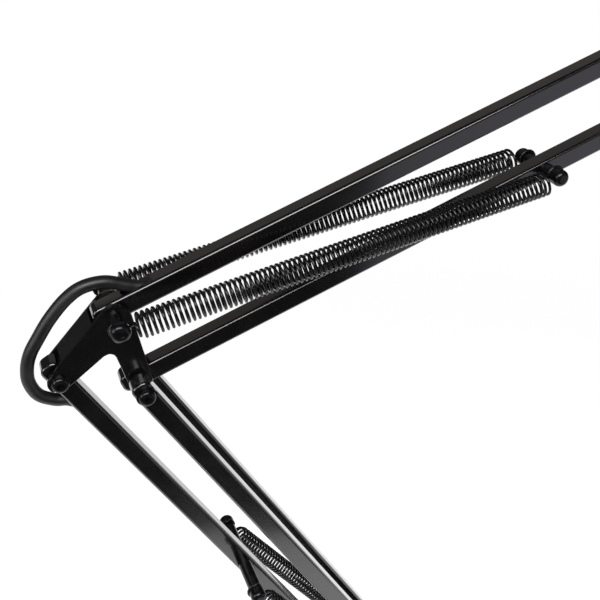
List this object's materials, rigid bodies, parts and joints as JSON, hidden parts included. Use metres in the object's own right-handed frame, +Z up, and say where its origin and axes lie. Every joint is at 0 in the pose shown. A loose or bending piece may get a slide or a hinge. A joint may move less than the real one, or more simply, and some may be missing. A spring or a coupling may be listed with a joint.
{
  "type": "microphone boom arm",
  "caption": "Spring balanced desk boom arm with parallel square tubes, a folded elbow bracket, a built-in microphone cable, a desk clamp and a tilting threaded microphone mount.",
  "frame": {"origin": "on the lower face of the top jaw's rubber pad, on the swivel axis", "axes": "+Z up along the swivel axis, +X from the swivel towards the microphone end, arm in the XZ plane"},
  "size_m": [0.4987, 0.0732, 0.7423],
  "materials": {
    "powder_coat": "semi-gloss black powder coat",
    "black_steel": "black zinc plated",
    "zinc_steel": "bright zinc plated",
    "spring_wire": "oiled dark spring wire",
    "cable_jacket": "satin jacket",
    "pad_rubber": "matt",
    "nylon": "natural nylon",
    "knob_plastic": "moulded black",
    "contact_metal": "plated contacts"
  },
  "bodies": {
    "clamp": {"clamp_frame": "powder_coat", "jaw_pad": "pad_rubber", "swivel_socket": "powder_coat", "socket_liner": "nylon"},
    "clamp_pad": {"clamp_pad": "zinc_steel", "clamp_pad_rubber": "pad_rubber"},
    "clamp_screw": {"clamp_screw": "zinc_steel"},
    "tommy_bar": {"tommy_bar": "zinc_steel", "tommy_bar_caps": "knob_plastic"},
    "lock_knob": {"swivel_lock_knob": "knob_plastic"},
    "base": {"base_bracket": "powder_coat", "swivel_spigot": "zinc_steel", "base_pivot_bolt": "black_steel", "base_spring_bolt": "black_steel", "base_sleeves": "black_steel", "base_washers": "nylon", "base_nuts": "black_steel", "base_connector_shell": "knob_plastic", "base_connector_pins": "contact_metal", "base_cable": "cable_jacket"},
    "lower_inner": {"lower_inner_tube": "powder_coat", "lower_inner_tube_caps": "knob_plastic", "lower_spring_pin": "black_steel", "lower_cable": "cable_jacket"},
    "lower_outer": {"lower_front_tube": "powder_coat", "lower_back_tube": "powder_coat", "lower_outer_tube_caps": "knob_plastic"},
    "elbow": {"elbow_bracket": "powder_coat", "elbow_spring_bolt": "black_steel", "elbow_bolts": "black_steel", "elbow_sleeves": "black_steel", "elbow_washers": "nylon", "elbow_nuts": "black_steel", "elbow_cable": "cable_jacket"},
    "upper_bottom": {"upper_bottom_tube": "powder_coat", "upper_bottom_tube_caps": "knob_plastic", "upper_spring_pin": "black_steel"},
    "upper_top": {"upper_top_tube": "powder_coat", "upper_top_tube_caps": "knob_plastic", "cable_grommets": "knob_plastic", "upper_cable": "cable_jacket"},
    "head": {"head_bracket": "powder_coat", "head_bolts": "black_steel", "head_sleeves": "black_steel", "head_washers": "nylon", "head_nuts": "black_steel", "head_block": "powder_coat", "head_connector_shell": "knob_plastic", "head_connector_insert": "knob_plastic", "head_cable": "cable_jacket"},
    "mic_fork": {"mic_fork": "powder_coat", "mic_fork_nut": "zinc_steel"},
    "mic_tilt": {"mic_tilt_block": "black_steel"},
    "tilt_knob": {"tilt_knob": "knob_plastic"},
    "lower_spring_swing": {"lower_spring_front": "spring_wire"},
    "lower_spring_stretch": {"lower_spring_back": "spring_wire"},
    "upper_spring_swing": {"upper_spring_front": "spring_wire"},
    "upper_spring_stretch": {"upper_spring_back": "spring_wire"}
  },
  "joints": [
    {"name": "clamp_travel", "type": "slide", "parent": "clamp", "child": "clamp_pad", "axis": [0, 0, 1], "range_m": [-0.018, 0.018]},
    {"name": "clamp_screw_turn", "type": "hinge", "parent": "clamp_pad", "child": "clamp_screw", "pos_m": [0, 0, -0.05], "axis": [0, 0, 1], "range_deg": [-4321, 4321]},
    {"name": "tommy_bar_slide", "type": "slide", "parent": "clamp_screw", "child": "tommy_bar", "axis": [0, 1, 0], "range_m": [-0.017, 0.017]},
    {"name": "swivel_lock", "type": "hinge", "parent": "clamp", "child": "lock_knob", "pos_m": [0, -0.02, 0.0282], "axis": [0, -1, 0], "range_deg": [0, 360]},
    {"name": "swivel", "type": "hinge", "parent": "clamp", "child": "base", "pos_m": [0, 0, 0.04], "axis": [0, 0, 1], "continuous": true},
    {"name": "lower_arm", "type": "hinge", "parent": "base", "child": "lower_inner", "pos_m": [-0.01845, 0, 0.07565], "axis": [0, -1, 0], "range_deg": [-60, 20], "deforming": ["lower_spring_front", "lower_spring_back", "base_cable", "elbow_cable"]},
    {"name": "lower_links", "type": "hinge", "parent": "base", "child": "lower_outer", "pos_m": [0.01845, 0, 0.06735], "axis": [0, -1, 0], "range_deg": [-60, 20]},
    {"name": "elbow_level", "type": "hinge", "parent": "lower_inner", "child": "elbow", "pos_m": [-0.21845, 0, 0.42206], "axis": [0, -1, 0], "range_deg": [-20, 60]},
    {"name": "upper_arm", "type": "hinge", "parent": "elbow", "child": "upper_top", "pos_m": [-0.19055, 0, 0.45176], "axis": [0, -1, 0], "range_deg": [-34, 55], "deforming": ["upper_spring_front", "upper_spring_back", "head_cable", "elbow_cable"]},
    {"name": "upper_link", "type": "hinge", "parent": "elbow", "child": "upper_bottom", "pos_m": [-0.18155, 0, 0.41376], "axis": [0, -1, 0], "range_deg": [-34, 55]},
    {"name": "head_level", "type": "hinge", "parent": "upper_top", "child": "head", "pos_m": [0.18651, 0, 0.58528], "axis": [0, -1, 0], "range_deg": [-55, 34]},
    {"name": "mic_turn", "type": "hinge", "parent": "head", "child": "mic_fork", "pos_m": [0.23151, 0, 0.54728], "axis": [0, 0, 1], "continuous": true},
    {"name": "mic_tilt", "type": "hinge", "parent": "mic_fork", "child": "mic_tilt", "pos_m": [0.23151, 0, 0.51728], "axis": [0, -1, 0], "range_deg": [-205, 25]},
    {"name": "tilt_lock", "type": "hinge", "parent": "mic_fork", "child": "tilt_knob", "pos_m": [0.23151, 0, 0.51728], "axis": [0, -1, 0], "range_deg": [0, 360]},
    {"name": "lower_spring_swing", "type": "hinge", "parent": "base", "child": "lower_spring_swing", "pos_m": [0.01845, 0, 0.06735], "axis": [0, -1, 0], "range_deg": [-55.71, 18.58]},
    {"name": "lower_spring_stretch", "type": "slide", "parent": "lower_spring_swing", "child": "lower_spring_stretch", "axis": [-0.5907, 0, 0.8069], "range_m": [-0.03349, 0.01117]},
    {"name": "upper_spring_swing", "type": "hinge", "parent": "elbow", "child": "upper_spring_swing", "pos_m": [-0.19055, 0, 0.45176], "axis": [0, -1, 0], "range_deg": [-35.24, 57]},
    {"name": "upper_spring_stretch", "type": "slide", "parent": "upper_spring_swing", "child": "upper_spring_stretch", "axis": [0.9856, 0, 0.1692], "range_m": [-0.03481, 0.02152]}
  ],
  "couplings": [
    {"joint": "clamp_screw_turn", "follows": "clamp_travel", "rad_per_m": 4188.8},
    {"joint": "lower_links", "follows": "lower_arm", "ratio": 1},
    {"joint": "elbow_level", "follows": "lower_arm", "ratio": -1},
    {"joint": "lower_spring_swing", "follows": "lower_arm", "ratio": 0.9283},
    {"joint": "lower_spring_stretch", "follows": "lower_arm", "m_per_rad": 0.031971},
    {"joint": "upper_link", "follows": "upper_arm", "ratio": 1},
    {"joint": "head_level", "follows": "upper_arm", "ratio": -1},
    {"joint": "upper_spring_swing", "follows": "upper_arm", "ratio": 1.0362},
    {"joint": "upper_spring_stretch", "follows": "upper_arm", "m_per_rad": -0.036253}
  ]
}
